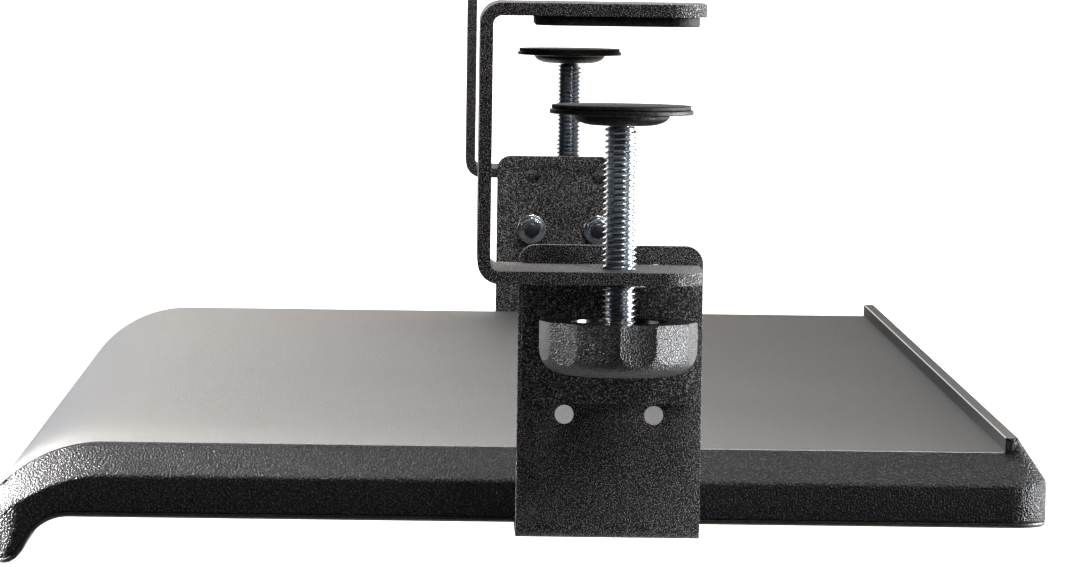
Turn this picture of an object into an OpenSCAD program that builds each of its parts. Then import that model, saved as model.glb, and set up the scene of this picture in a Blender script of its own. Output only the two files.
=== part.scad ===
// Keyboard tray that hangs under a desk from two screw clamps and slides in and out on ball slides.
// +X is the user's right, +Y points away from the user, +Z is up. The origin lies midway between the
// clamps, at the desk's front edge, on the desk's top face.

/* [Tray] */
// Width of the tray over its side walls
tray_w = 650; // [480:5:800]
// Distance from the desk's front edge to the tray's back wall, as photographed
tray_back = 160; // [130:5:220]
// Distance from the desk's front edge to where the wrist edge starts to fall
wrist_start = 108; // [80:2:150]
// Height of the working surface below the desk's top face
tray_drop = 121; // [110:1:150]
// Thickness of the tray at its flat part
tray_t = 21; // [19:1:30]
// Thickness of the moulded walls
wall = 2.5; // [2:0.1:3.5]
// Thickness of the ribs
rib_t = 1.6; // [1.2:0.1:2.5]
// Width of the bevel along each side
bevel_w = 8; // [4:0.5:10]
// Height of the bevel along each side
bevel_h = 9; // [5:0.5:10]
// Radius of the back corners in plan
back_corner_r = 10; // [4:1:20]
// Radius of the front corners in plan
front_corner_r = 15; // [6:1:25]

/* [Wrist edge] */
// Radius of the wrist curve
wrist_r = 42; // [38:1:60]
// Radius of the nose
nose_r = 8.2; // [6:0.1:9]
// How far the nose centre lies in front of the start of the curve
nose_reach = 30; // [22:1:31]
// Radius of the hollow behind the nose
cove_r = 13; // [10:1:20]

/* [Panel and lip] */
// Thickness of the top panel
panel_t = 1; // [0.6:0.1:1.5]
// Height of the back lip over the working surface
lip_h = 4.3; // [2:0.1:10]
// Width of the back lip
lip_w = 3.5; // [2.5:0.1:6]
// Inset of the lip from the back wall
lip_inset = 8.4; // [5:0.1:12]
// Height of the sloped back edge
back_slope_h = 12.3; // [8:0.1:14]
// Reveal left between the panel and the start of the bevel
panel_reveal = 0.5; // [0.2:0.1:2]
// Thickness of the bottom cover
cover_t = 1.6; // [1.2:0.1:3]

/* [Clamp] */
// Width of the clamp strip
strip_w = 50; // [46:1:70]
// Thickness of the clamp strip
strip_t = 3.5; // [2.5:0.1:5]
// Inside radius of the strip's bends
strip_bend_r = 2.5; // [1.5:0.5:4]
// Reach of the jaws from the desk's front edge
jaw_reach = 59; // [50:1:80]
// Height from the desk's top face down to the lower jaw
jaw_opening = 67.5; // [60:0.5:90]
// Radius of the jaw tips' corners in plan
jaw_tip_r = 11; // [3:1:18]
// Height of the plate that is bent down from the lower jaw
flange_drop = 36; // [34:1:60]
// Thickness of the soft pad under the upper jaw
jaw_pad_t = 2.7; // [1.5:0.1:5]
// Thickness of the desk that the clamp holds as drawn
desk_t = 22; // [16:1:30]

/* [L-bracket] */
// Thickness of the L-bracket
bracket_t = 2.5; // [2:0.1:4]
// Width of the L-bracket
bracket_w = 52; // [46:1:70]
// Gap between the L-bracket and the tray's side
side_gap = 5.5; // [3:0.5:15]
// Height of the L-bracket over the lower jaw
bracket_rise = 5; // [4:1:15]
// Distance between the rows of holes
row_pitch = 20; // [15:1:30]
// Distance between the two holes of a row
hole_pitch = 25.3; // [20:0.1:30]
// Radius of the bracket's bolt holes
bolt_hole_r = 2.7; // [2.6:0.05:3.2]

/* [Screw and knob] */
// Radius of the clamp screw over its thread
screw_r = 4.7625; // [4:0.05:6]
// Distance from the desk's front edge to the screw's axis
screw_y = 36; // [30:1:38]
// Distance from the bent plate to the screw's axis
screw_off = 26; // [26:0.5:28]
// Radius of the knob
knob_r = 22; // [16:0.5:22]
// Height of the knob
knob_h = 15; // [12:1:25]
// Space between the lower jaw and the knob
knob_gap = 11; // [9.5:0.5:30]
// Radius of the foot
foot_r = 20; // [14:0.5:21]

/* [Slides] */
// Length of the outer slide member
outer_len = 254; // [200:2:260]
// Length of the inner slide member
inner_len = 120; // [80:2:140]
// Length of the ball cage
cage_len = 54; // [30:2:60]
// Width of the slide
rail_w = 27; // [27:1:35]
// Height of the slide
rail_h = 10; // [10:0.5:14]
// Thickness of the slide's steel
rail_t = 1.2; // [1:0.1:1.5]
// Distance from the tray's side to the middle of the slide
rail_in = 35; // [25:1:60]

/* [Hidden] */
$fn = 64;

// Clearances: flat faces that meet, fasteners in their holes, the turning screw, loose holes
face_gap = 0.05;
screw_fit = 0.05;
loose_fit = 0.2;
// Enough for a cut to run past a face
past = 1;

// Heights
surface_z = -tray_drop;
tray_bottom = surface_z - tray_t;
deck_z = surface_z - panel_t - wall;
cover_top = tray_bottom + cover_t;
lip_top = surface_z + lip_h;
rail_proud = 1;
foot_top = tray_bottom - rail_proud;
rail_top = foot_top + rail_h;

// Side view of the tray: centres of the wrist curve, the nose and the hollow behind the nose
wrist_c = [-wrist_start, surface_z - wrist_r];
nose_y = wrist_c[0] - nose_reach;
nose_c = [nose_y, wrist_c[1] + sqrt(pow(wrist_r - nose_r, 2) - pow(nose_reach, 2))];
cove_z = tray_bottom - cove_r;
cove_dz = nose_c[1] - cove_z;
cove_c = [nose_y + sqrt(pow(nose_r + cove_r, 2) - pow(cove_dz, 2)), cove_z];
nose_tangent = atan2(nose_c[1] - wrist_c[1], nose_c[0] - wrist_c[0]);
cove_tangent = atan2(cove_c[1] - nose_c[1], cove_c[0] - nose_c[0]) + 360;
cover_end_angle = 225;
panel_short = 12;
arc_steps = 12;

// Points along an arc, from one angle to another
function arc(c, r, a0, a1, n = arc_steps) =
    [for (i = [0:n]) [c[0] + r * cos(a0 + (a1 - a0) * i / n), c[1] + r * sin(a0 + (a1 - a0) * i / n)]];

// Back edge of the tray, from the foot of the lip round to the bottom
back_slope_z = lip_top - back_slope_h;
lip_front = tray_back - lip_inset - lip_w;
lip_back = tray_back - lip_inset;

// Top of the tray from the wrist curve's start to the nose, drawn in by a distance
function front_top(inset) = concat(
    arc(wrist_c, wrist_r - inset, 90, nose_tangent),
    arc(nose_c, nose_r - inset, nose_tangent, cover_end_angle, 6));
// Underside from the nose back to the flat, drawn in by a distance
function belly(inset) = concat(
    arc(nose_c, nose_r - inset, cover_end_angle, cove_tangent, 8),
    arc(cove_c, cove_r + inset, cove_tangent - 180, 90, 8),
    [[tray_back - inset, tray_bottom + inset]]);

// Slides
rail_x = tray_w / 2 - rail_in;
rail_gap = 1.5;
rail_back = 137;
rail_mid = tray_back - rail_back;
outer_y0 = rail_mid - outer_len / 2;
bracket_y = 34.5;
stop_len = 4;
stop_gap = 0.5;
travel_out = rail_mid + outer_len / 2 - stop_len - stop_gap - (bracket_y + inner_len / 2);
travel_in = bracket_y - inner_len / 2 - (outer_y0 + stop_len + stop_gap);
cage_y = bracket_y + (travel_in - travel_out) / -4;
inner_half = rail_w / 2 - 6;
race = rail_w / 2 - rail_t - inner_half;
ball_r = race / 2 - 0.2;
ball_x = inner_half + race / 2;
ball_z = 5.35;
ball_pitch = 9;
cage_t = 0.8;
rail_screw_r = 2;
rail_screw_reach = 107;
rail_screw_len = 7;
rail_screw_cone = 1.5;
foot_screw_step = 15;
foot_screw_len = 6;

// Clamps and brackets, on the right side
bracket_in_x = tray_w / 2 + side_gap;
strip_x = bracket_in_x + bracket_t + face_gap;
flange_x = strip_x + strip_t;
screw_x = flange_x + screw_off;
bend_out = strip_bend_r + strip_t;
jaw_bottom = -jaw_opening - strip_t;
jaw_top = jaw_pad_t + strip_t;
flange_bottom = jaw_bottom - flange_drop;
flange_w = 50;
bolted_row_drop = 19.4;
bolted_row_z = jaw_bottom - bolted_row_drop;
bracket_top = bracket_rise - jaw_opening;
bracket_bottom = foot_top - bracket_t;
bracket_bend = 4;
bracket_end_x = rail_x - rail_w / 2 - 9;
collar_r = 7;
collar_h = 1.4;
jaw_pad_margin = 2;
jaw_pad_r = 8;
jaw_pad_y0 = 11.5;
bolt_r = 2.5;
bolt_head_r = 4.6;
bolt_head_h = 2.4;
nut_r = 4.6;
nut_h = 4;
nut_flange_r = 5.5;
nut_flange_h = 1;

// Foot, ball seat and the top end of the screw
foot_z = -desk_t;
foot_pad_t = 1.2;
foot_h = 5.7;
foot_bottom = foot_z - foot_h;
cup_top = foot_z - foot_pad_t;
rim_t = 1.3;
dome_r = 13.5;
dome_flat_r = 7;
ball_seat_r = 4.9;
socket_r = ball_seat_r + 0.3;
ball_seat_z = foot_bottom + 1.8;
ball_seat_up = 1.6;
journal_r = 2.45;
rivet_r = 3.1;
rivet_h = 0.5;
screw_shoulder = foot_bottom - 0.2;
screw_chamfer = 0.8;
screw_chamfer_h = 1.4;

// Knob
knob_top = jaw_bottom - knob_gap;
knob_bottom = knob_top - knob_h;
knob_skirt_h = 5;
valley_r = 9;
valley_depth = 1.8;
lobes = 6;
lobe_phase = 45;
recess_r = 13.5;
recess_h = 1.5;
insert_r = 7.5;
insert_h = 11;
insert_z = knob_top - recess_h - insert_h;

// Inside of the tray
rib_pitch_x = 59;
rib_pitch_y = 52;
rib_start = 8;
rib_margin = 20;
channel_half = rail_w / 2 + rail_gap;
channel_len = outer_len + 4;
bed_t = 2.5;
boss_r = 4;
cover_screw_r = 1.5;
cover_screw_len = 10;
cover_head_r = 3;
cover_screw_xs = [88, 236];
cover_screw_ys = [-78, 130];

// Draws the children on the right side, or mirrored on the left
module on_side(side) {
    mirror([side == "left" ? 1 : 0, 0, 0]) children();
}

// A side-view outline, extruded across the tray
module across(half_w) {
    rotate([90, 0, 90]) translate([0, 0, -half_w]) linear_extrude(2 * half_w) children();
}

// A round bar along X, from x0, of length len
module bar_x(r, len) {
    rotate([0, 90, 0]) cylinder(r = r, h = len);
}

// A rectangle from p0 to p1 with rounded corners
module round_rect(p0, p1, r) {
    translate([p0[0] + r, p0[1]]) square([p1[0] - p0[0] - 2 * r, p1[1] - p0[1]]);
    translate([p0[0], p0[1] + r]) square([p1[0] - p0[0], p1[1] - p0[1] - 2 * r]);
    for (x = [p0[0] + r, p1[0] - r], y = [p0[1] + r, p1[1] - r]) translate([x, y]) circle(r);
}

// A quarter of a bent sheet: a ring quarter in the plane's first quadrant, extruded to w
module bend(r_in, t, w) {
    linear_extrude(w) intersection() {
        difference() {
            circle(r_in + t);
            circle(r_in);
        }
        square(r_in + t);
    }
}

// Plan outline of the tray
module tray_plan() {
    front = nose_c[0] - nose_r;
    half = tray_w / 2;
    difference() {
        translate([-half, front]) square([tray_w, tray_back - front]);
        for (s = [-1, 1]) {
            corner_cut([s * half, tray_back], [-s, -1], back_corner_r);
            corner_cut([s * half, front], [-s, 1], front_corner_r);
        }
    }
}

// What is cut from a corner at p to round it; dir points into the outline
module corner_cut(p, dir, r) {
    difference() {
        translate([min(p[0] - dir[0] * past, p[0] + dir[0] * r), min(p[1] - dir[1] * past, p[1] + dir[1] * r)])
            square(r + past);
        translate([p[0] + dir[0] * r, p[1] + dir[1] * r]) circle(r);
    }
}

// Outer form of the tray's shell over the cover's seam, with the bevels along both sides
module tray_outer() {
    top = concat(
        [[lip_back, lip_top], [lip_front, lip_top], [lip_front, surface_z]],
        front_top(0));
    side = concat(belly(cover_t), [[tray_back, cover_top], [tray_back, back_slope_z]]);
    slope = lip_inset * (lip_h / back_slope_h);
    crown = concat([[lip_back + slope, surface_z]], front_top(0), [[tray_back, tray_bottom]],
        [[tray_back, back_slope_z]]);
    intersection() {
        across(tray_w / 2) polygon(concat(top, side));
        union() {
            hull() {
                across(tray_w / 2 - bevel_w) polygon(crown);
                translate([0, 0, -bevel_h]) across(tray_w / 2) polygon(crown);
            }
            translate([-tray_w / 2 + bevel_w, lip_front - past, surface_z - past])
                cube([tray_w - 2 * bevel_w, lip_inset + lip_w + past, lip_h + 2 * past]);
        }
        tray_block();
    }
}

// The tray's plan as a block taller than the tray
module tray_block() {
    low = nose_c[1] - nose_r - past;
    translate([0, 0, low]) linear_extrude(lip_top + past - low) tray_plan();
}

// Side outline of the top panel, swollen by a gap below
module panel_outline(gap) {
    t = panel_t + gap;
    end_angle = nose_tangent - panel_short;
    polygon(concat(
        [[lip_back + gap, lip_top], [lip_front, lip_top], [lip_front, surface_z]],
        arc(wrist_c, wrist_r, 90, end_angle),
        arc(wrist_c, wrist_r - t, end_angle, 90),
        [[lip_front + t, surface_z - t], [lip_front + t, lip_top - t], [lip_back + gap, lip_top - t]]));
}

// Space inside the shell
module tray_cavity() {
    inset = wall + panel_t;
    difference() {
        across(tray_w / 2 - wall) polygon(concat(
            [[lip_front - wall, deck_z]],
            arc(wrist_c, wrist_r - inset, 90, nose_tangent),
            arc(nose_c, nose_r - inset, nose_tangent, cover_end_angle, 6),
            belly(cover_t + wall / 2),
            [[tray_back - wall, cover_top - past], [tray_back - wall, back_slope_z - wall]]));
        for (s = [-1, 1]) translate([s * (tray_w / 2 - wall), 0, 0]) bevel_backing(s);
    }
    translate([-tray_w / 2 + wall, cove_c[0] + past, cover_top - past])
        cube([tray_w - 2 * wall, tray_back - wall - cove_c[0] - past, 2 * past]);
}

// Wedge that keeps the wall's thickness behind a side bevel
module bevel_backing(s) {
    width = bevel_w + wall;
    translate([0, 0, surface_z - bevel_h - wall]) rotate([90, 0, 0]) translate([0, 0, -tray_back])
        linear_extrude(2 * tray_back + wrist_start)
            polygon([[0, 0], [0, bevel_h + 2 * wall], [-s * width, bevel_h + 2 * wall], [-s * width, bevel_h - wall]]);
}

// Ribs under the deck, cut to the shell's outer form
module ribs() {
    half = tray_w / 2;
    front = nose_c[0] - nose_r;
    low = nose_c[1] - nose_r;
    high = deck_z + wall / 2;
    count_x = floor((half - rib_margin) / rib_pitch_x);
    intersection() {
        tray_outer();
        union() {
            for (i = [-count_x:count_x])
                translate([i * rib_pitch_x - rib_t / 2, front, low])
                    cube([rib_t, tray_back - wall / 2 - front, high - low]);
            for (y = [cove_c[0] + rib_start:rib_pitch_y:tray_back - rib_margin])
                translate([-half + wall / 2, y, low]) cube([2 * half - wall, rib_t, high - low]);
        }
    }
}

// Walls and bed that take one slide
module rail_bed() {
    w = channel_half + rib_t;
    translate([rail_x - w, rail_mid - channel_len / 2 - rib_t, cover_top])
        cube([2 * w, channel_len + 2 * rib_t, rail_top + bed_t - cover_top]);
    for (y = outer_screw_ys()) translate([rail_x, y, rail_top]) cylinder(r = boss_r, h = deck_z - rail_top + 1);
}

// Space under the bed for one slide
module rail_space() {
    translate([rail_x - channel_half, rail_mid - channel_len / 2, tray_bottom - past])
        cube([2 * channel_half, channel_len, rail_top + face_gap - tray_bottom + past]);
}

function outer_screw_ys() = [for (i = [-1:1]) rail_mid + i * rail_screw_reach];

module tray_shell() {
    color([0.11, 0.11, 0.12]) difference() {
        union() {
            difference() {
                tray_outer();
                tray_cavity();
            }
            ribs();
            for (side = ["right", "left"]) on_side(side) rail_bed();
            for (x = cover_screw_xs, s = [-1, 1], y = cover_screw_ys)
                translate([s * x, y, cover_top + face_gap])
                    cylinder(r = boss_r, h = deck_z - cover_top + wall / 2);
        }
        across(tray_w / 2 - bevel_w - panel_reveal + face_gap) panel_outline(face_gap);
        for (side = ["right", "left"]) on_side(side) {
            rail_space();
            for (y = outer_screw_ys()) translate([rail_x, y, rail_top - rail_t]) rail_screw(screw_fit);
        }
        for (x = cover_screw_xs, s = [-1, 1], y = cover_screw_ys)
            translate([s * x, y, tray_bottom]) cover_screw(screw_fit);
    }
}

module top_panel() {
    color([0.42, 0.41, 0.41]) across(tray_w / 2 - bevel_w - panel_reveal) panel_outline(0);
}

module bottom_cover() {
    inner = belly(cover_t - face_gap);
    outer = belly(0);
    color([0.07, 0.07, 0.08]) difference() {
        intersection() {
            across(tray_w / 2) polygon(concat(outer, [[tray_back, cover_top - face_gap]],
                [for (i = [len(inner) - 2:-1:0]) inner[i]]));
            tray_block();
        }
        for (side = ["right", "left"]) on_side(side) rail_space();
        for (x = cover_screw_xs, s = [-1, 1], y = cover_screw_ys)
            translate([s * x, y, tray_bottom]) cover_screw(screw_fit);
    }
}

// A countersunk screw pointing up, its head's face at the origin, swollen by a fit
module cover_screw(fit) {
    head_h = cover_head_r - cover_screw_r;
    translate([0, 0, -fit]) cylinder(r1 = cover_head_r + fit, r2 = cover_screw_r + fit, h = head_h + fit);
    cylinder(r = cover_screw_r + fit, h = cover_screw_len + fit);
}

module cover_screws() {
    color([0.5, 0.5, 0.5]) for (x = cover_screw_xs, s = [-1, 1], y = cover_screw_ys)
        translate([s * x, y, tray_bottom]) cover_screw(0);
}

// Both jaws and the spine of one clamp, with the plate bent down from the lower jaw
module clamp_bracket() {
    color([0.1, 0.1, 0.1]) difference() {
        union() {
            jaw(jaw_pad_t, 0);
            jaw(jaw_bottom, bend_out);
            translate([strip_x, -strip_t, jaw_bottom + bend_out])
                cube([strip_w, strip_t, jaw_top - jaw_bottom - 2 * bend_out]);
            translate([strip_x, strip_bend_r, jaw_top - bend_out]) rotate([90, 0, 90]) rotate(90)
                bend(strip_bend_r, strip_t, strip_w);
            translate([strip_x, strip_bend_r, jaw_bottom + bend_out]) rotate([90, 0, 90]) rotate(180)
                bend(strip_bend_r, strip_t, strip_w);
            flange();
            translate([screw_x, screw_y, jaw_bottom - collar_h]) cylinder(r = collar_r, h = collar_h);
        }
        translate([screw_x, screw_y, jaw_bottom - collar_h - past])
            cylinder(r = screw_r + screw_fit, h = strip_t + collar_h + 2 * past);
        bolt_row(bolted_row_z, flange_x + past, strip_t + past + face_gap);
    }
}

// A jaw whose underside is at z, with its tip's corners rounded; its inner edge may leave room for a bend
module jaw(z, inner) {
    x1 = strip_x + strip_w;
    y0 = strip_bend_r;
    translate([0, 0, z]) linear_extrude(strip_t) {
        translate([strip_x, y0]) square([strip_w, bracket_y - flange_w / 2 - y0]);
        translate([strip_x + inner, y0]) square([strip_w - inner, jaw_reach - jaw_tip_r - y0]);
        translate([strip_x + max(inner, jaw_tip_r), y0])
            square([strip_w - max(inner, jaw_tip_r) - jaw_tip_r, jaw_reach - y0]);
        translate([x1 - jaw_tip_r, jaw_reach - jaw_tip_r]) circle(jaw_tip_r);
        if (inner == 0) translate([strip_x + jaw_tip_r, jaw_reach - jaw_tip_r]) circle(jaw_tip_r);
        if (inner > 0) translate([strip_x + inner, y0]) square([jaw_tip_r, jaw_reach - y0]);
    }
}

// Plate bent down from the lower jaw's inner edge
module flange() {
    y0 = bracket_y - flange_w / 2;
    corner = 1.5;
    translate([strip_x + bend_out, y0, jaw_bottom - strip_bend_r]) rotate([90, 0, 0]) rotate(90)
        translate([0, 0, -(jaw_reach - y0)]) bend(strip_bend_r, strip_t, jaw_reach - y0);
    translate([strip_x, 0, 0]) rotate([90, 0, 90]) linear_extrude(strip_t) {
        translate([y0, flange_bottom + corner])
            square([jaw_reach - y0, jaw_bottom - strip_bend_r - flange_bottom - corner]);
        translate([y0 + corner, flange_bottom]) square([jaw_reach - y0 - 2 * corner, corner]);
        for (y = [y0 + corner, jaw_reach - corner]) translate([y, flange_bottom + corner]) circle(corner);
    }
}

// A row of two bolt holes through plates along -X from x
module bolt_row(z, x, depth) {
    for (s = [-1, 1]) translate([x - depth, bracket_y + s * hole_pitch / 2, z])
        bar_x(bolt_hole_r, depth);
}

module jaw_pad() {
    color([0.06, 0.06, 0.06]) linear_extrude(jaw_pad_t - face_gap)
        round_rect([strip_x + jaw_pad_margin, jaw_pad_y0],
            [strip_x + strip_w - jaw_pad_margin, jaw_reach - jaw_pad_margin], jaw_pad_r);
}

// Leg beside the tray, bend, and foot under the tray
module l_bracket() {
    y0 = bracket_y - bracket_w / 2;
    leg_bottom = bracket_bottom + bracket_bend;
    r = 5;
    color([0.13, 0.13, 0.13]) difference() {
        union() {
            translate([bracket_in_x, 0, 0]) rotate([90, 0, 90]) linear_extrude(bracket_t) {
                translate([y0, leg_bottom]) square([bracket_w, bracket_top - r - leg_bottom]);
                translate([y0 + r, leg_bottom]) square([bracket_w - 2 * r, bracket_top - leg_bottom]);
                for (y = [y0 + r, y0 + bracket_w - r]) translate([y, bracket_top - r]) circle(r);
            }
            translate([bracket_in_x + bracket_t - bracket_bend, y0 + bracket_w, leg_bottom])
                rotate([90, 0, 0]) rotate(-90) bend(bracket_bend - bracket_t, bracket_t, bracket_w);
            translate([0, 0, bracket_bottom]) linear_extrude(bracket_t) {
                translate([bracket_end_x, y0 + r])
                    square([bracket_in_x + bracket_t - bracket_bend - bracket_end_x, bracket_w - 2 * r]);
                translate([bracket_end_x + r, y0])
                    square([bracket_in_x + bracket_t - bracket_bend - bracket_end_x - r, bracket_w]);
                for (y = [y0 + r, y0 + bracket_w - r]) translate([bracket_end_x + r, y]) circle(r);
            }
        }
        for (i = [-1:1])
            bolt_row(bolted_row_z + i * row_pitch, bracket_in_x + bracket_t + past, bracket_t + 2 * past);
        for (s = [-1, 1]) translate([rail_x, bracket_y + s * foot_screw_step, bracket_bottom - past])
            cylinder(r = rail_screw_r + loose_fit, h = bracket_t + 2 * past);
    }
}

module bracket_bolts() {
    len = strip_t + bracket_t + nut_h + nut_flange_h + 2;
    socket_r = 1.7;
    socket_h = 1.5;
    color([0.08, 0.08, 0.08]) for (s = [-1, 1])
        translate([flange_x + face_gap, bracket_y + s * hole_pitch / 2, bolted_row_z]) difference() {
            union() {
                bar_x(bolt_head_r, bolt_head_h);
                translate([-len, 0, 0]) bar_x(bolt_r, len);
            }
            translate([bolt_head_h - socket_h, 0, 0]) rotate([0, 90, 0]) cylinder(r = socket_r, h = 3, $fn = 6);
        }
}

module bracket_nuts() {
    color([0.6, 0.6, 0.6]) for (s = [-1, 1])
        translate([bracket_in_x - face_gap, bracket_y + s * hole_pitch / 2, bolted_row_z])
            mirror([1, 0, 0]) difference() {
                union() {
                    bar_x(nut_flange_r, nut_flange_h);
                    rotate([0, 90, 0]) cylinder(r = nut_r, h = nut_h + nut_flange_h, $fn = 6);
                }
                translate([-past, 0, 0]) bar_x(bolt_r + screw_fit, nut_h + nut_flange_h + 2 * past);
            }
}

// Draws a slide's section, seen along -Y, extruded over a length in Y
module slide_section(y0, len) {
    translate([rail_x, y0 + len, foot_top]) rotate([90, 0, 0]) linear_extrude(len) children();
}

// An outline from the points of its right half
function both_halves(pts) = concat(pts, [for (i = [len(pts) - 1:-1:0]) [-pts[i][0], pts[i][1]]]);

// Steel channel fixed in the tray, open below
module outer_rail() {
    w = rail_w / 2;
    lip = 1.8;
    color([0.6, 0.61, 0.62]) difference() {
        slide_section(outer_y0, outer_len) polygon(both_halves([
            [w, rail_h], [w, rail_t], [w - rail_t - lip, rail_t],
            [w - rail_t - lip, 2 * rail_t], [w - rail_t, 2 * rail_t], [w - rail_t, rail_h - rail_t]]));
        for (y = outer_screw_ys()) translate([rail_x, y, rail_top - rail_t]) rail_screw(screw_fit);
    }
}

// Steel channel fixed on the L-bracket's foot, open above
module inner_rail() {
    side_h = rail_h - 2 * rail_t - 0.6;
    color([0.66, 0.67, 0.68]) difference() {
        slide_section(bracket_y - inner_len / 2, inner_len) polygon(both_halves([
            [inner_half, face_gap], [inner_half, side_h], [inner_half - rail_t, side_h],
            [inner_half - rail_t, rail_t]]));
        for (s = [-1, 1]) translate([rail_x, bracket_y + s * foot_screw_step, foot_top - past])
            cylinder(r = rail_screw_r + screw_fit, h = rail_t + 2 * past);
    }
}

// Strip that spaces the balls of one slide
module ball_cage() {
    top = rail_h - rail_t - 0.3;
    web_t = 0.6;
    leg_bottom = 2 * rail_t + 0.3;
    color([0.75, 0.72, 0.6]) difference() {
        slide_section(cage_y - cage_len / 2, cage_len) polygon(both_halves([
            [ball_x + cage_t / 2, top], [ball_x + cage_t / 2, leg_bottom],
            [ball_x - cage_t / 2, leg_bottom], [ball_x - cage_t / 2, top - web_t]]));
        ball_places() rotate([0, 90, 0]) cylinder(r = ball_r + 0.15, h = 4, center = true);
    }
}

// Puts its children at each ball of one slide
module ball_places() {
    n = floor((cage_len - 2 * ball_r - 2) / ball_pitch);
    for (i = [0:n], s = [-1, 1])
        translate([rail_x + s * ball_x, cage_y + (i - n / 2) * ball_pitch, foot_top + ball_z]) children();
}

module bearing_balls() {
    color([0.85, 0.85, 0.86]) ball_places() sphere(ball_r);
}

// Rubber blocks at both ends of the outer member, which the inner member meets
module rail_stops() {
    color([0.05, 0.05, 0.05]) for (y = [outer_y0, outer_y0 + outer_len - stop_len])
        slide_section(y, stop_len)
            translate([-inner_half, rail_t + 0.4]) square([2 * inner_half, rail_h - 2 * rail_t - 0.4 - face_gap]);
}

// A countersunk screw up into the tray, its head's face at the origin, swollen by a fit
module rail_screw(fit) {
    cone_r = rail_screw_r + rail_screw_cone;
    translate([0, 0, -fit]) cylinder(r1 = cone_r + fit, r2 = rail_screw_r + fit, h = rail_screw_cone + fit);
    cylinder(r = rail_screw_r + fit, h = rail_screw_len + fit);
}

module outer_rail_screws() {
    color([0.7, 0.7, 0.7]) for (y = outer_screw_ys())
        translate([rail_x, y, rail_top - rail_t]) rail_screw(0);
}

module inner_rail_screws() {
    head_r = 3.6;
    head_h = 2;
    color([0.7, 0.7, 0.7]) for (s = [-1, 1])
        translate([rail_x, bracket_y + s * foot_screw_step, bracket_bottom - face_gap]) {
            translate([0, 0, -head_h]) cylinder(r = head_r, h = head_h);
            cylinder(r = rail_screw_r, h = foot_screw_len);
        }
}

// Puts its children on the clamp screw's axis, at height 0
module at_screw() {
    translate([screw_x, screw_y, 0]) children();
}

// Threaded bar at its outer diameter, with a journal and a riveted tip for the ball seat
module clamp_screw() {
    seat_top = ball_seat_z + ball_seat_up;
    color([0.75, 0.78, 0.8]) at_screw() {
        translate([0, 0, insert_z]) cylinder(r = screw_r, h = screw_shoulder - screw_chamfer_h - insert_z);
        translate([0, 0, screw_shoulder - screw_chamfer_h])
            cylinder(r1 = screw_r, r2 = screw_r - screw_chamfer, h = screw_chamfer_h);
        translate([0, 0, screw_shoulder]) cylinder(r = journal_r, h = seat_top - screw_shoulder + face_gap);
        translate([0, 0, seat_top + face_gap]) cylinder(r = rivet_r, h = rivet_h);
    }
}

// Collar with a ball-shaped outside that the screw turns in and the foot tilts on
module ball_seat() {
    color([0.7, 0.72, 0.74]) at_screw() difference() {
        intersection() {
            translate([0, 0, ball_seat_z]) sphere(ball_seat_r);
            translate([-ball_seat_r, -ball_seat_r, foot_bottom])
                cube([2 * ball_seat_r, 2 * ball_seat_r, ball_seat_z + ball_seat_up - foot_bottom]);
        }
        translate([0, 0, foot_bottom - past]) cylinder(r = journal_r + screw_fit, h = foot_h + past);
    }
}

// Domed steel foot with a socket for the ball seat
module foot_cup() {
    rim_bottom = cup_top - rim_t;
    color([0.07, 0.07, 0.07]) at_screw() difference() {
        rotate_extrude() polygon(concat(
            [[0, cup_top], [foot_r, cup_top], [foot_r, rim_bottom], [dome_r, rim_bottom - 0.3]],
            [for (i = [1:5]) [
                dome_flat_r + (dome_r - dome_flat_r) * cos(15 * i),
                rim_bottom - 0.3 - (rim_bottom - 0.3 - foot_bottom) * sin(15 * i)]],
            [[dome_flat_r, foot_bottom], [0, foot_bottom]]));
        translate([0, 0, ball_seat_z]) sphere(socket_r);
    }
}

module foot_pad() {
    margin = 0.6;
    color([0.05, 0.05, 0.05]) at_screw() translate([0, 0, cup_top + face_gap])
        cylinder(r = foot_r - margin, h = foot_pad_t - face_gap);
}

// Lobed hand knob, recessed on top and domed below
module knob() {
    color([0.1, 0.1, 0.1]) at_screw() difference() {
        intersection() {
            translate([0, 0, knob_bottom]) linear_extrude(knob_h) difference() {
                circle(knob_r);
                for (i = [0:lobes - 1]) rotate(lobe_phase + (i + 0.5) * 360 / lobes)
                    translate([knob_r + valley_r - valley_depth, 0]) circle(valley_r);
            }
            rotate_extrude() polygon([
                [0, knob_bottom], [0.6 * knob_r, knob_bottom], [0.85 * knob_r, knob_bottom + 1.5],
                [knob_r, knob_bottom + knob_skirt_h], [knob_r, knob_top - 1], [knob_r - 1, knob_top],
                [recess_r, knob_top], [recess_r, knob_top - recess_h], [0, knob_top - recess_h]]);
        }
        translate([0, 0, insert_z - face_gap]) cylinder(r = insert_r + screw_fit, h = insert_h + past);
    }
}

// Metal bush in the knob that holds the screw's lower end
module knob_insert() {
    color([0.72, 0.6, 0.35]) at_screw() translate([0, 0, insert_z]) difference() {
        cylinder(r = insert_r, h = insert_h);
        translate([0, 0, -past]) cylinder(r = screw_r + screw_fit, h = insert_h + 2 * past);
    }
}

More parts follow.
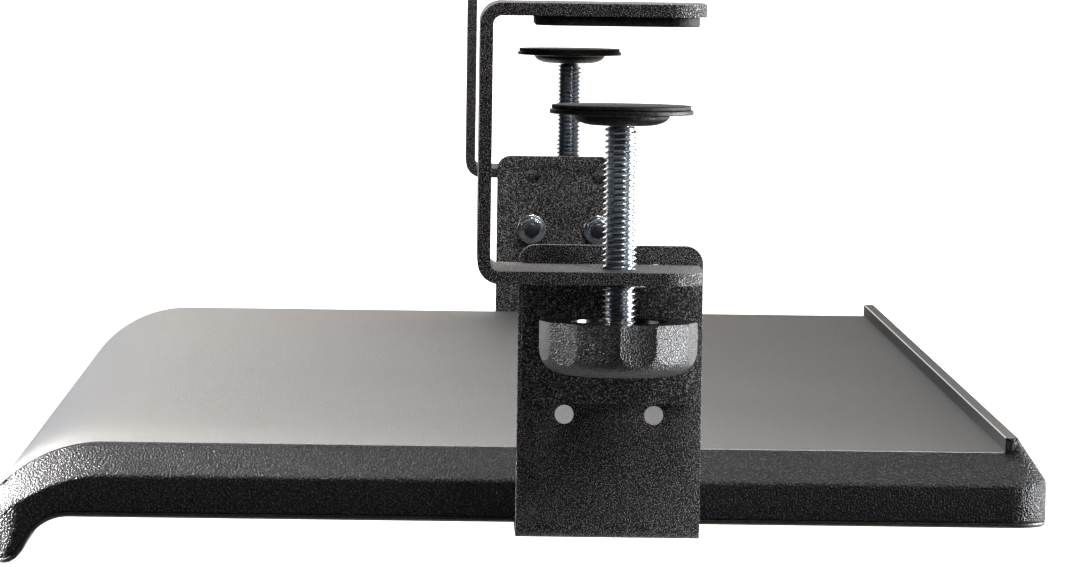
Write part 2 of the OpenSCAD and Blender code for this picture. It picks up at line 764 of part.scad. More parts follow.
tray_shell();
top_panel();
bottom_cover();
cover_screws();
on_side("right") clamp_bracket();  // right_clamp_bracket
on_side("left") clamp_bracket();  // left_clamp_bracket
on_side("right") jaw_pad();  // right_jaw_pad
on_side("left") jaw_pad();  // left_jaw_pad
on_side("right") l_bracket();  // right_l_bracket
on_side("left") l_bracket();  // left_l_bracket
on_side("right") bracket_bolts();  // right_bracket_bolts
on_side("left") bracket_bolts();  // left_bracket_bolts
on_side("right") bracket_nuts();  // right_bracket_nuts
on_side("left") bracket_nuts();  // left_bracket_nuts
on_side("right") inner_rail();  // right_inner_rail
on_side("left") inner_rail();  // left_inner_rail
on_side("right") inner_rail_screws();  // right_inner_rail_screws
on_side("left") inner_rail_screws();  // left_inner_rail_screws
on_side("right") outer_rail();  // right_outer_rail
on_side("left") outer_rail();  // left_outer_rail
on_side("right") outer_rail_screws();  // right_outer_rail_screws
on_side("left") outer_rail_screws();  // left_outer_rail_screws
on_side("right") ball_cage();  // right_ball_cage
on_side("left") ball_cage();  // left_ball_cage
on_side("right") bearing_balls();  // right_bearing_balls
on_side("left") bearing_balls();  // left_bearing_balls
on_side("right") rail_stops();  // right_rail_stops
on_side("left") rail_stops();  // left_rail_stops
on_side("right") clamp_screw();  // right_clamp_screw
on_side("left") clamp_screw();  // left_clamp_screw
on_side("right") knob();  // right_knob
on_side("left") knob();  // left_knob
on_side("right") knob_insert();  // right_knob_insert
on_side("left") knob_insert();  // left_knob_insert
on_side("right") ball_seat();  // right_ball_seat
on_side("left") ball_seat();  // left_ball_seat
on_side("right") foot_cup();  // right_foot_cup
on_side("left") foot_cup();  // left_foot_cup
on_side("right") foot_pad();  // right_foot_pad
on_side("left") foot_pad();  // left_foot_pad
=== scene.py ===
import math

import bmesh
import bpy
from mathutils import Matrix, Vector


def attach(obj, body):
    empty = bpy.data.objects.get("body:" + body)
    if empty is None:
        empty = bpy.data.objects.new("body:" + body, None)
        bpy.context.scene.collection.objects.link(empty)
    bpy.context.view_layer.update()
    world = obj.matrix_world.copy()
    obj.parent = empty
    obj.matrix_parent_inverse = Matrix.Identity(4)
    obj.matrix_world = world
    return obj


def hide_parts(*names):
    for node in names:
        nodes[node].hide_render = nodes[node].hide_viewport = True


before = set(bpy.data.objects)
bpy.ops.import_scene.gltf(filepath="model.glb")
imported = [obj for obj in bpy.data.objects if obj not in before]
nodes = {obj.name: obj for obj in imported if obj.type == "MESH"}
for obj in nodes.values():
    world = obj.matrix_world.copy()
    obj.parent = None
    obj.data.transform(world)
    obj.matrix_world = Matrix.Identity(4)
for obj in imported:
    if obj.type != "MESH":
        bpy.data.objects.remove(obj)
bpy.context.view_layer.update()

mm = 0.001
sides = {"right": 1, "left": -1}
print("frame loaded with", len(nodes), "nodes")


# selecting and shaping; distances for merging are in metres, and the angle is in degrees

merging = {"grid": 0.00002, "sliver": 0.00001, "node": 0.000005, "flatAngle": 0.6}


def deselectAll():
    if bpy.context.object and bpy.context.object.mode != "OBJECT":
        bpy.ops.object.mode_set(mode="OBJECT")
    bpy.ops.object.select_all(action="DESELECT")


def makeActive(piece):
    deselectAll()
    piece.select_set(True)
    bpy.context.view_layer.objects.active = piece


def startEdit(piece, kind="FACE"):
    makeActive(piece)
    bpy.ops.object.mode_set(mode="EDIT")
    bpy.ops.mesh.select_mode(type=kind)
    bpy.ops.mesh.select_all(action="DESELECT")


def pick(piece, kind, wanted):
    # selects the vertices, edges or faces that the test accepts
    mesh = bmesh.from_edit_mesh(piece.data)
    items = {"VERT": mesh.verts, "EDGE": mesh.edges, "FACE": mesh.faces}[kind]
    for item in items:
        if wanted(item):
            item.select_set(True)
    mesh.select_flush_mode()
    bmesh.update_edit_mesh(piece.data)


def endEdit(piece, recalculate=True):
    if recalculate:
        bpy.ops.mesh.select_all(action="SELECT")
        bpy.ops.mesh.normals_make_consistent(inside=False)
    bpy.ops.object.mode_set(mode="OBJECT")


def applyPlace(piece):
    makeActive(piece)
    bpy.ops.object.transform_apply(location=True, rotation=True, scale=True)


def useModifier(piece, kind, **settings):
    makeActive(piece)
    modifier = piece.modifiers.new(kind.lower(), kind)
    for key, value in settings.items():
        setattr(modifier, key, value)
    bpy.ops.object.modifier_apply(modifier=modifier.name)


def roundEdges(piece, width, segments=3, angle=30):
    useModifier(piece, "BEVEL", width=width * mm, segments=segments, limit_method="ANGLE",
                angle_limit=math.radians(angle), harden_normals=False, use_clamp_overlap=True)


def smoothByAngle(piece, angle=35):
    makeActive(piece)
    bpy.ops.object.shade_smooth_by_angle(angle=math.radians(angle))


def cutWith(piece, cutters, operation="DIFFERENCE"):
    for cutter in cutters:
        useModifier(piece, "BOOLEAN", operation=operation, object=cutter, solver="EXACT")
        bpy.data.objects.remove(cutter, do_unlink=True)


def addBox(name, low, high):
    deselectAll()
    middle = [(a + b) / 2 * mm for a, b in zip(low, high)]
    bpy.ops.mesh.primitive_cube_add(size=1, location=middle)
    piece = bpy.context.object
    piece.name = name
    piece.scale = [(b - a) * mm for a, b in zip(low, high)]
    applyPlace(piece)
    return piece


def addCone(name, centre, radius1, radius2, low, high):
    deselectAll()
    bpy.ops.mesh.primitive_cone_add(vertices=32, radius1=radius1 * mm, radius2=radius2 * mm,
                                    depth=(high - low) * mm,
                                    location=(centre[0] * mm, centre[1] * mm, (low + high) / 2 * mm))
    piece = bpy.context.object
    piece.name = name
    applyPlace(piece)
    return piece


def shapedGrid(name, rows, closed=True):
    # a grid primitive whose rows of points are moved to their places; doubles are merged
    count = len(rows[0])
    deselectAll()
    bpy.ops.mesh.primitive_grid_add(x_subdivisions=count - 1, y_subdivisions=len(rows) - 1, size=1)
    piece = bpy.context.object
    piece.name = name
    for r, row in enumerate(rows):
        for c, point in enumerate(row):
            piece.data.vertices[r * count + c].co = Vector(point) * mm
    startEdit(piece)
    bpy.ops.mesh.select_all(action="SELECT")
    bpy.ops.mesh.remove_doubles(threshold=merging["grid"])
    bpy.ops.mesh.dissolve_degenerate(threshold=merging["sliver"])
    if not closed:
        bpy.ops.mesh.select_all(action="DESELECT")
        bpy.ops.mesh.select_mode(type="EDGE")
        bpy.ops.mesh.select_non_manifold(extend=False, use_wire=True, use_boundary=True,
                                         use_multi_face=False, use_non_contiguous=False, use_verts=False)
        bpy.ops.mesh.fill(use_beauty=True)
        bpy.ops.mesh.select_mode(type="FACE")
    endEdit(piece)
    return piece


def copyNode(name, node):
    # a copy of a CAD node's mesh, merged and with its flat faces joined
    piece = bpy.data.objects.new(name, nodes[node].data.copy())
    bpy.context.scene.collection.objects.link(piece)
    piece.data.materials.clear()
    startEdit(piece)
    bpy.ops.mesh.select_all(action="SELECT")
    bpy.ops.mesh.remove_doubles(threshold=merging["node"])
    bpy.ops.mesh.dissolve_limited(angle_limit=math.radians(merging["flatAngle"]))
    endEdit(piece, recalculate=False)
    return piece


def arc(centre, radius, start, end, steps):
    points = []
    for i in range(steps + 1):
        a = math.radians(start + (end - start) * i / steps)
        points.append((centre[0] + radius * math.cos(a), centre[1] + radius * math.sin(a)))
    return points


# materials

def newMaterial(name):
    material = bpy.data.materials.new(name)
    material.use_nodes = True
    tree = material.node_tree
    shader = tree.nodes["Principled BSDF"]
    place = tree.nodes.new("ShaderNodeTexCoord")
    return material, tree, shader, place.outputs["Object"]


def addNoise(tree, place, scale, detail=2.0, roughness=0.5, stretch=None):
    noise = tree.nodes.new("ShaderNodeTexNoise")
    noise.inputs["Scale"].default_value = scale
    noise.inputs["Detail"].default_value = detail
    noise.inputs["Roughness"].default_value = roughness
    if stretch:
        mapping = tree.nodes.new("ShaderNodeMapping")
        mapping.inputs["Scale"].default_value = stretch
        tree.links.new(place, mapping.inputs["Vector"])
        place = mapping.outputs["Vector"]
    tree.links.new(place, noise.inputs["Vector"])
    return noise.outputs["Fac"]


def addRamp(tree, source, low, high, first, last):
    ramp = tree.nodes.new("ShaderNodeValToRGB")
    ramp.color_ramp.elements[0].position = low
    ramp.color_ramp.elements[1].position = high
    ramp.color_ramp.elements[0].color = (*first, 1)
    ramp.color_ramp.elements[1].color = (*last, 1)
    tree.links.new(source, ramp.inputs["Fac"])
    return ramp.outputs["Color"]


def addRange(tree, source, low, high):
    spread = tree.nodes.new("ShaderNodeMapRange")
    spread.inputs["To Min"].default_value = low
    spread.inputs["To Max"].default_value = high
    tree.links.new(source, spread.inputs["Value"])
    return spread.outputs["Result"]


def multiplyColours(tree, first, second):
    mix = tree.nodes.new("ShaderNodeMix")
    mix.data_type = "RGBA"
    mix.blend_type = "MULTIPLY"
    mix.inputs["Factor"].default_value = 1
    tree.links.new(first, mix.inputs[6])
    tree.links.new(second, mix.inputs[7])
    return mix.outputs[2]


def addBump(tree, shader, height, strength, depth, before=None):
    bump = tree.nodes.new("ShaderNodeBump")
    bump.inputs["Strength"].default_value = strength
    bump.inputs["Distance"].default_value = depth
    tree.links.new(height, bump.inputs["Height"])
    if before:
        tree.links.new(before, bump.inputs["Normal"])
    tree.links.new(bump.outputs["Normal"], shader.inputs["Normal"])
    return bump.outputs["Normal"]


# the part of a slow noise's range over which it changes the tone
toneSpan = (0.3, 0.7)


def grainedFinish(name, look):
    # moulded or powder-coated black: fine grain, light specks and slow changes of tone
    material, tree, shader, place = newMaterial(name)
    grain = addNoise(tree, place, look["grainScale"], 1.0, 0.5)
    slow = addNoise(tree, place, look["slowScale"], 2.0, 0.5)
    specks = addRamp(tree, grain, look["speckFrom"], look["speckTo"], look["dark"], look["light"])
    tone = addRamp(tree, slow, *toneSpan, (look["slowDark"],) * 3, (1, 1, 1))
    tree.links.new(multiplyColours(tree, specks, tone), shader.inputs["Base Color"])
    tree.links.new(addRange(tree, grain, *look["roughness"]), shader.inputs["Roughness"])
    shader.inputs["Specular IOR Level"].default_value = look.get("specular", 0.5)
    first = addBump(tree, shader, grain, look["bump"], look["depth"])
    if "skinScale" in look:
        cells = tree.nodes.new("ShaderNodeTexVoronoi")
        cells.feature = "DISTANCE_TO_EDGE"
        cells.inputs["Scale"].default_value = look["skinScale"]
        tree.links.new(place, cells.inputs["Vector"])
        ridges = addRange(tree, cells.outputs["Distance"], 0, look["skinHeight"])
        addBump(tree, shader, ridges, look["skinBump"], look["skinDepth"], first)
    return material


def platedFinish(name, look):
    # plated or turned metal with faint streaks along one direction
    material, tree, shader, place = newMaterial(name)
    streaks = addNoise(tree, place, look["scale"], 4.0, 0.6, look["stretch"])
    tone = addRamp(tree, streaks, 0.3, 0.75, look["dark"], look["light"])
    tree.links.new(tone, shader.inputs["Base Color"])
    tree.links.new(addRange(tree, streaks, *look["roughness"]), shader.inputs["Roughness"])
    shader.inputs["Metallic"].default_value = 1.0
    addBump(tree, shader, streaks, look["bump"], look["depth"])
    return material


mattBlack = {"grainScale": 1500, "slowScale": 9, "speckFrom": 0.5, "speckTo": 0.66,
             "dark": (0.001, 0.001, 0.0014), "light": (0.05, 0.05, 0.054), "slowDark": 0.75,
             "roughness": (0.38, 0.6), "bump": 1.0, "depth": 0.0006}
looks = {
    "shell": {**mattBlack, "grainScale": 1800, "speckFrom": 0.53, "speckTo": 0.63,
              "light": (0.03, 0.03, 0.034), "roughness": (0.62, 0.28), "specular": 0.17},
    "cover": {**mattBlack, "bump": 0.3, "light": (0.01, 0.01, 0.011), "specular": 0.4},
    "powder": {**mattBlack, "grainScale": 3300, "speckFrom": 0.58, "speckTo": 0.64,
               "light": (0.4, 0.38, 0.385), "roughness": (0.5, 0.7), "depth": 0.0005, "specular": 0.2},
    "knob": {**mattBlack, "grainScale": 2200, "light": (0.06, 0.06, 0.062), "roughness": (0.3, 0.45),
             "specular": 0.3, "depth": 0.0004,
             "skinScale": 1500, "skinHeight": 0.4, "skinBump": 1.0, "skinDepth": 0.00038},
    "gloss": {**mattBlack, "grainScale": 300, "bump": 0.02, "light": (0.012, 0.012, 0.013),
              "roughness": (0.12, 0.2)},
    "rubber": {**mattBlack, "grainScale": 700, "bump": 0.35, "light": (0.016, 0.016, 0.016),
               "roughness": (0.65, 0.85), "specular": 0.3},
    "footSteel": {**mattBlack, "bump": 0.4, "light": (0.01, 0.01, 0.01), "roughness": (0.42, 0.58),
                  "specular": 0.18},
    "boltBlack": {**mattBlack, "grainScale": 2500, "bump": 0.15, "roughness": (0.28, 0.4)},
    # painted highlight: a lighter colour for the lip's front fold, where light catches it
    "paintedFoldHighlight": {**mattBlack, "bump": 0.05, "dark": (0.07, 0.067, 0.064), "light": (0.11, 0.106, 0.1),
                  "slowDark": 0.85, "roughness": (0.3, 0.4)},
    "sideEdge": {**mattBlack, "bump": 0.05, "dark": (0.012, 0.012, 0.012), "light": (0.03, 0.03, 0.03),
                 "roughness": (0.22, 0.32)},
    "cage": {**mattBlack, "grainScale": 900, "bump": 0.1, "dark": (0.42, 0.40, 0.33),
             "light": (0.55, 0.53, 0.46), "slowDark": 0.9},
}
platedLooks = {
    "zinc": {"scale": 240, "stretch": (1, 1, 5), "dark": (0.42, 0.46, 0.50), "light": (0.74, 0.78, 0.82),
             "roughness": (0.12, 0.28), "bump": 0.06, "depth": 0.0001},
    "strip": {"scale": 160, "stretch": (6, 0.5, 6), "dark": (0.42, 0.43, 0.44), "light": (0.62, 0.63, 0.64),
              "roughness": (0.28, 0.48), "bump": 0.08, "depth": 0.0001},
    "polished": {"scale": 90, "stretch": (1, 1, 1), "dark": (0.7, 0.7, 0.72), "light": (0.82, 0.82, 0.84),
                 "roughness": (0.06, 0.14), "bump": 0.01, "depth": 0.0001},
    "brass": {"scale": 260, "stretch": (1, 1, 6), "dark": (0.55, 0.40, 0.16), "light": (0.78, 0.62, 0.30),
              "roughness": (0.22, 0.4), "bump": 0.05, "depth": 0.0001},
}
finishes = {name: grainedFinish(name + "Finish", look) for name, look in looks.items()}
finishes.update({name: platedFinish(name + "Finish", look) for name, look in platedLooks.items()})


def panelFinish():
    # smooth warm-grey sheet with a fine tooth, its sheen duller towards the back and its colour darker there
    # as painted shade
    look = {"tooth": 2200, "slow": 6, "dark": (0.036, 0.034, 0.031), "light": (0.052, 0.049, 0.045),
            "front": -0.13, "back": 0.15, "roughness": (0.36, 0.74), "specular": 0.26, "paintedShadeBack": 0.42,
            "bump": 1.0, "depth": 0.0006}
    material, tree, shader, place = newMaterial("panelFinish")
    tooth = addNoise(tree, place, look["tooth"], 2.0, 0.5)
    slow = addNoise(tree, place, look["slow"], 3.0, 0.5)
    axes = tree.nodes.new("ShaderNodeSeparateXYZ")
    tree.links.new(place, axes.inputs["Vector"])
    along = tree.nodes.new("ShaderNodeMapRange")
    along.inputs["From Min"].default_value = look["front"]
    along.inputs["From Max"].default_value = look["back"]
    tree.links.new(axes.outputs["Y"], along.inputs["Value"])
    # painted shade: the colour darkens towards the back, standing in for the desk's dark underside reflected
    # there
    paintedShadeGrade = addRamp(tree, along.outputs["Result"], 0.0, 1.0, (1, 1, 1), (look["paintedShadeBack"],) * 3)
    colour = addRamp(tree, slow, *toneSpan, look["dark"], look["light"])
    tree.links.new(multiplyColours(tree, colour, paintedShadeGrade), shader.inputs["Base Color"])
    tree.links.new(addRange(tree, along.outputs["Result"], *look["roughness"]), shader.inputs["Roughness"])
    shader.inputs["Specular IOR Level"].default_value = look["specular"]
    addBump(tree, shader, tooth, look["bump"], look["depth"])
    return material


finishes["panel"] = panelFinish()
print("materials made:", len(finishes))


def finishPiece(piece, look, body, slot, *replaced):
    piece.data.materials.clear()
    piece.data.materials.append(finishes[look])
    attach(piece, body)
    if replaced:
        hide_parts(*replaced)
    return piece


# camera, floor and light

def makeCamera():
    # fitted to the photograph: place and clipping in metres, angles in degrees, focal length and the
    # photograph's width in pixels, sensor in millimetres
    view = {"place": (2.214, -0.016, 0.033), "turn": 0.93, "down": 3.24, "lean": 0.79,
            "focal": 6686.0, "photoWidth": 1080, "sensor": 36, "nearest": 0.05, "farthest": 60}
    deselectAll()
    bpy.ops.object.camera_add(location=view["place"])
    camera = bpy.context.object
    camera.name = "photoCamera"
    turn, down, lean = (math.radians(view[key]) for key in ("turn", "down", "lean"))
    ahead = Vector((-math.cos(turn) * math.cos(down), math.sin(turn) * math.cos(down), -math.sin(down)))
    right = ahead.cross(Vector((0, 0, 1))).normalized()
    up = right.cross(ahead)
    leanRight = right * math.cos(lean) + up * math.sin(lean)
    leanUp = up * math.cos(lean) - right * math.sin(lean)
    camera.rotation_mode = "QUATERNION"
    camera.rotation_quaternion = Matrix((leanRight, leanUp, -ahead)).transposed().to_quaternion()
    camera.data.sensor_width = view["sensor"]
    camera.data.lens = view["focal"] / view["photoWidth"] * view["sensor"]
    camera.data.clip_start = view["nearest"]
    camera.data.clip_end = view["farthest"]
    bpy.context.scene.camera = camera


def makeStage():
    stage = {"floorHeight": -3.0, "reach": 9.0, "sweep": 3.0, "sweepSteps": 16,
             "tone": 0.7, "toneChange": 0.01, "toneScale": 3, "glow": 0.03, "roughness": 0.7}
    deselectAll()
    bpy.ops.mesh.primitive_plane_add(size=stage["reach"] * 2, location=(0, 0, stage["floorHeight"]))
    floor = bpy.context.object
    floor.name = "studioFloor"
    startEdit(floor, "EDGE")
    pick(floor, "EDGE", lambda e: all(v.co.x < 0 for v in e.verts))
    bpy.ops.mesh.extrude_region_move(TRANSFORM_OT_translate={"value": (0, 0, stage["reach"])})
    bpy.ops.mesh.select_all(action="DESELECT")
    pick(floor, "EDGE", lambda e: all(v.co.x < 0 and v.co.z < 0.01 for v in e.verts))
    bpy.ops.mesh.bevel(offset=stage["sweep"], segments=stage["sweepSteps"], affect="EDGES")
    endEdit(floor, recalculate=False)
    applyPlace(floor)
    smoothByAngle(floor, 40)
    material, tree, shader, place = newMaterial("studioPaper")
    tone = addNoise(tree, place, stage["toneScale"])
    low, high = ((stage["tone"] + change,) * 3 for change in (-stage["toneChange"], stage["toneChange"]))
    tree.links.new(addRamp(tree, tone, *toneSpan, low, high), shader.inputs["Base Color"])
    shader.inputs["Roughness"].default_value = stage["roughness"]
    shader.inputs["Emission Color"].default_value = (1, 1, 1, 1)
    shader.inputs["Emission Strength"].default_value = stage["glow"]
    # the paper is clear from behind, so that the tray can be seen from below
    clear, mix, side = (tree.nodes.new(kind) for kind in
                        ("ShaderNodeBsdfTransparent", "ShaderNodeMixShader", "ShaderNodeNewGeometry"))
    tree.links.new(side.outputs["Backfacing"], mix.inputs["Fac"])
    tree.links.new(shader.outputs["BSDF"], mix.inputs[1])
    tree.links.new(clear.outputs["BSDF"], mix.inputs[2])
    tree.links.new(mix.outputs["Shader"], tree.nodes["Material Output"].inputs["Surface"])
    floor.data.materials.append(material)


def addSoftLight(name, place, target, size, power, spread, tint):
    deselectAll()
    bpy.ops.object.light_add(type="AREA", location=place)
    light = bpy.context.object
    light.name = name
    light.data.shape = "RECTANGLE"
    light.data.size, light.data.size_y = size
    light.data.energy = power
    light.data.spread = math.radians(spread)
    light.data.color = tint
    aim = Vector(target) - Vector(place)
    light.rotation_mode = "QUATERNION"
    light.rotation_quaternion = aim.to_track_quat("-Z", "Y")


def makeLights():
    warm, cool, plain = (1.0, 0.985, 0.97), (0.97, 0.985, 1.0), (1.0, 1.0, 1.0)
    taupe, wall, blue = (1.0, 0.92, 0.85), (1.0, 0.945, 0.89), (0.4, 0.65, 1.0)
    # name, place, target, size, power, spread, tint
    lights = [
        ("wristSoftbox", (0.24, -0.7, 0.15), (0.32, -0.15, -0.17), (0.14, 0.36), 0.9, 30, warm),
        ("noseSoftbox", (0.22, -0.68, 0.02), (0.325, -0.16, -0.17), (0.1, 0.1), 1.7, 14, warm),
        ("frontSoftbox", (0.0, -2.2, 0.7), (0, 0, -0.1), (1.4, 0.8), 14, 180, plain),
        ("screwStrip", (1.3, 0.95, -0.05), (0.36, 0.036, -0.06), (0.12, 0.7), 0.6, 180, plain),
        ("backSoftbox", (0.24, 0.75, -0.1), (0.34, 0.15, -0.13), (0.3, 0.36), 5.2, 70, cool),
        ("topSoftbox", (0.05, 0.15, 1.9), (0.2, 0, -0.1), (0.45, 0.8), 65, 180, plain),
        ("fillSoftbox", (1.4, 0.7, 0.85), (0.33, 0, -0.1), (0.3, 0.3), 12, 180, warm),
        ("backdropLight", (-1.6, 0.0, 2.6), (-7.0, 0, 0.6), (6.0, 1.5), 1700, 180, wall),
        ("sheenSoftbox", (-2.2, 0.0, 1.0), (0, 0, -0.12), (1.2, 0.8), 7, 180, taupe),
        ("rollSoftbox", (-1.5, -1.1, 0.9), (0, -0.14, -0.14), (0.2, 0.4), 1.6, 60, blue),
    ]
    for light in lights:
        addSoftLight(*light)


def makeAir():
    # white to the camera and dimmer as light, with a dark flag on the near side that keeps the blacks deep
    air = {"seen": 1.0, "given": 0.28, "flag": 0.02, "near": (0.05, 0.5), "low": (0.6, 0.25),
           "tint": (0.95, 0.97, 1.0, 1)}
    world = bpy.data.worlds.new("studioWorld")
    bpy.context.scene.world = world
    world.use_nodes = True
    tree = world.node_tree
    background = tree.nodes["Background"]
    background.inputs["Color"].default_value = air["tint"]
    place = tree.nodes.new("ShaderNodeTexCoord")
    axes = tree.nodes.new("ShaderNodeSeparateXYZ")
    tree.links.new(place.outputs["Generated"], axes.inputs["Vector"])
    both = tree.nodes.new("ShaderNodeMath")
    both.operation = "MULTIPLY"
    for i, (axis, edge) in enumerate((("X", "near"), ("Z", "low"))):
        share = tree.nodes.new("ShaderNodeMapRange")
        share.inputs["From Min"].default_value, share.inputs["From Max"].default_value = air[edge]
        tree.links.new(axes.outputs[axis], share.inputs["Value"])
        tree.links.new(share.outputs["Result"], both.inputs[i])
    given = addRange(tree, both.outputs[0], air["given"], air["flag"])
    path = tree.nodes.new("ShaderNodeLightPath")
    mix = tree.nodes.new("ShaderNodeMix")
    tree.links.new(path.outputs["Is Camera Ray"], mix.inputs["Factor"])
    tree.links.new(given, mix.inputs[2])
    mix.inputs[3].default_value = air["seen"]
    tree.links.new(mix.outputs[0], background.inputs["Strength"])
    bpy.context.scene.view_settings.view_transform = "Standard"


makeCamera()
makeStage()
makeLights()
makeAir()
print("camera, floor and lights ready")


# the tray's form, shared by the shell, the panel and the cover

tray = {
    "halfWidth": 325.0, "back": 160.0, "surface": -121.0, "bottom": -142.0,
    "wristStart": -108.0, "wristRadius": 42.0, "noseRadius": 8.2, "noseReach": 30.0, "coveRadius": 13.0,
    "bevelWidth": 8.0, "bevelHeight": 9.0, "backCorner": 10.0, "frontCorner": 15.0,
    "lipHeight": 4.3, "lipWidth": 3.5, "lipInset": 8.4, "backSlope": 12.3,
    "coverThickness": 1.6, "panelThickness": 1.0, "coverGap": 0.06, "panelGap": 0.05,
}
wristCentre = (tray["wristStart"], tray["surface"] - tray["wristRadius"])
noseGap = tray["wristRadius"] - tray["noseRadius"]
noseCentre = (wristCentre[0] - tray["noseReach"],
              wristCentre[1] + math.sqrt(noseGap ** 2 - tray["noseReach"] ** 2))
coveHeight = tray["bottom"] - tray["coveRadius"]
coveReach = tray["noseRadius"] + tray["coveRadius"]
coveCentre = (noseCentre[0] + math.sqrt(coveReach ** 2 - (noseCentre[1] - coveHeight) ** 2), coveHeight)
trayFront = noseCentre[0] - tray["noseRadius"]
lipFoot = tray["back"] - tray["lipInset"] - tray["lipWidth"]
lipTop = tray["surface"] + tray["lipHeight"]
noseJoin = wristCentre[0] + (noseCentre[0] - wristCentre[0]) * tray["wristRadius"] / noseGap
coveJoin = noseCentre[0] + (coveCentre[0] - noseCentre[0]) * tray["noseRadius"] / coveReach


def topHeight(y):
    # height of the tray's upper side at a place along Y, without the lip
    if y >= wristCentre[0]:
        return tray["surface"]
    if y >= noseJoin:
        return wristCentre[1] + math.sqrt(tray["wristRadius"] ** 2 - (y - wristCentre[0]) ** 2)
    return noseCentre[1] + math.sqrt(max(0.0, tray["noseRadius"] ** 2 - (y - noseCentre[0]) ** 2))


def bellyHeight(y):
    # height of the tray's underside at a place along Y
    if y >= coveCentre[0]:
        return tray["bottom"]
    if y >= coveJoin:
        return coveCentre[1] + math.sqrt(max(0.0, tray["coveRadius"] ** 2 - (y - coveCentre[0]) ** 2))
    return noseCentre[1] - math.sqrt(max(0.0, tray["noseRadius"] ** 2 - (y - noseCentre[0]) ** 2))


def seamHeight(y):
    # height of the line on the tray's side where the shell meets the cover
    inset = tray["coverThickness"]
    if y >= coveCentre[0]:
        return tray["bottom"] + inset
    join = noseCentre[0] + (coveCentre[0] - noseCentre[0]) * (tray["noseRadius"] - inset) / coveReach
    if y >= join:
        return coveCentre[1] + math.sqrt((tray["coveRadius"] + inset) ** 2 - (y - coveCentre[0]) ** 2)
    return noseCentre[1] - math.sqrt(max(0.0, (tray["noseRadius"] - inset) ** 2 - (y - noseCentre[0]) ** 2))


def planStations():
    # places round the right half of the plan: x, y, outward x and y, share facing the back and the front
    half, back = tray["halfWidth"], tray["back"]
    rb, rf = tray["backCorner"], tray["frontCorner"]
    backSteps, wristSteps, frontSteps = 10, 18, 12
    stations = [(0, back, 0, 1, 1, 0)]
    for i in range(backSteps + 1):
        a = math.radians(90 - 90 / backSteps * i)
        stations.append((half - rb + rb * math.cos(a), back - rb + rb * math.sin(a),
                         math.cos(a), math.sin(a), math.sin(a) ** 2, 0))
    cornerEnd = trayFront + rf
    # close pairs where the shell's rim steps down at the lip's foot, then the flat of the side
    sidePlaces = [lipFoot + 1.05, lipFoot + 0.95, lipFoot + 0.02, lipFoot - 0.06, 100, 40, -20, -70, -95]
    sidePlaces += [wristCentre[0] + (cornerEnd - wristCentre[0]) * i / wristSteps for i in range(wristSteps)]
    stations += [(half, y, 1, 0, 0, 0) for y in sidePlaces]
    for i in range(frontSteps + 1):
        a = math.radians(-90 / frontSteps * i)
        stations.append((half - rf + rf * math.cos(a), cornerEnd + rf * math.sin(a),
                         math.cos(a), math.sin(a), 0, math.sin(a) ** 2))
    stations.append((0, trayFront, 0, -1, 0, 1))
    return stations


def nosePoint(angle, radius):
    # inset and height of a point of the nose's section
    a = math.radians(angle)
    return noseCentre[0] + radius * math.cos(a) - trayFront, noseCentre[1] + radius * math.sin(a)


def wristPoint(angle, radius):
    # inset and height of a point of the wrist's section
    a = math.radians(angle)
    return wristCentre[0] + radius * math.cos(a) - trayFront, wristCentre[1] + radius * math.sin(a)


def blend(a, b, share):
    # the point that lies the share of the way from a to b
    return tuple(p + (q - p) * share for p, q in zip(a, b))


def ringRows(stations, columnsAt):
    # rows of points right round the tray: each row runs through one station's columns
    rows = []
    for station in stations:
        x, y, outX, outY = station[:4]
        row = [(x - outX * inset if x else 0.0, y - outY * inset, z) for inset, z in columnsAt(station)]
        row.insert(0, (0.0, row[0][1], row[0][2]))
        row.append((0.0, row[-1][1], row[-1][2]))
        rows.append(row)
    mirrored = [[(-x, y, z) for x, y, z in row] for row in reversed(rows)]
    return rows + mirrored


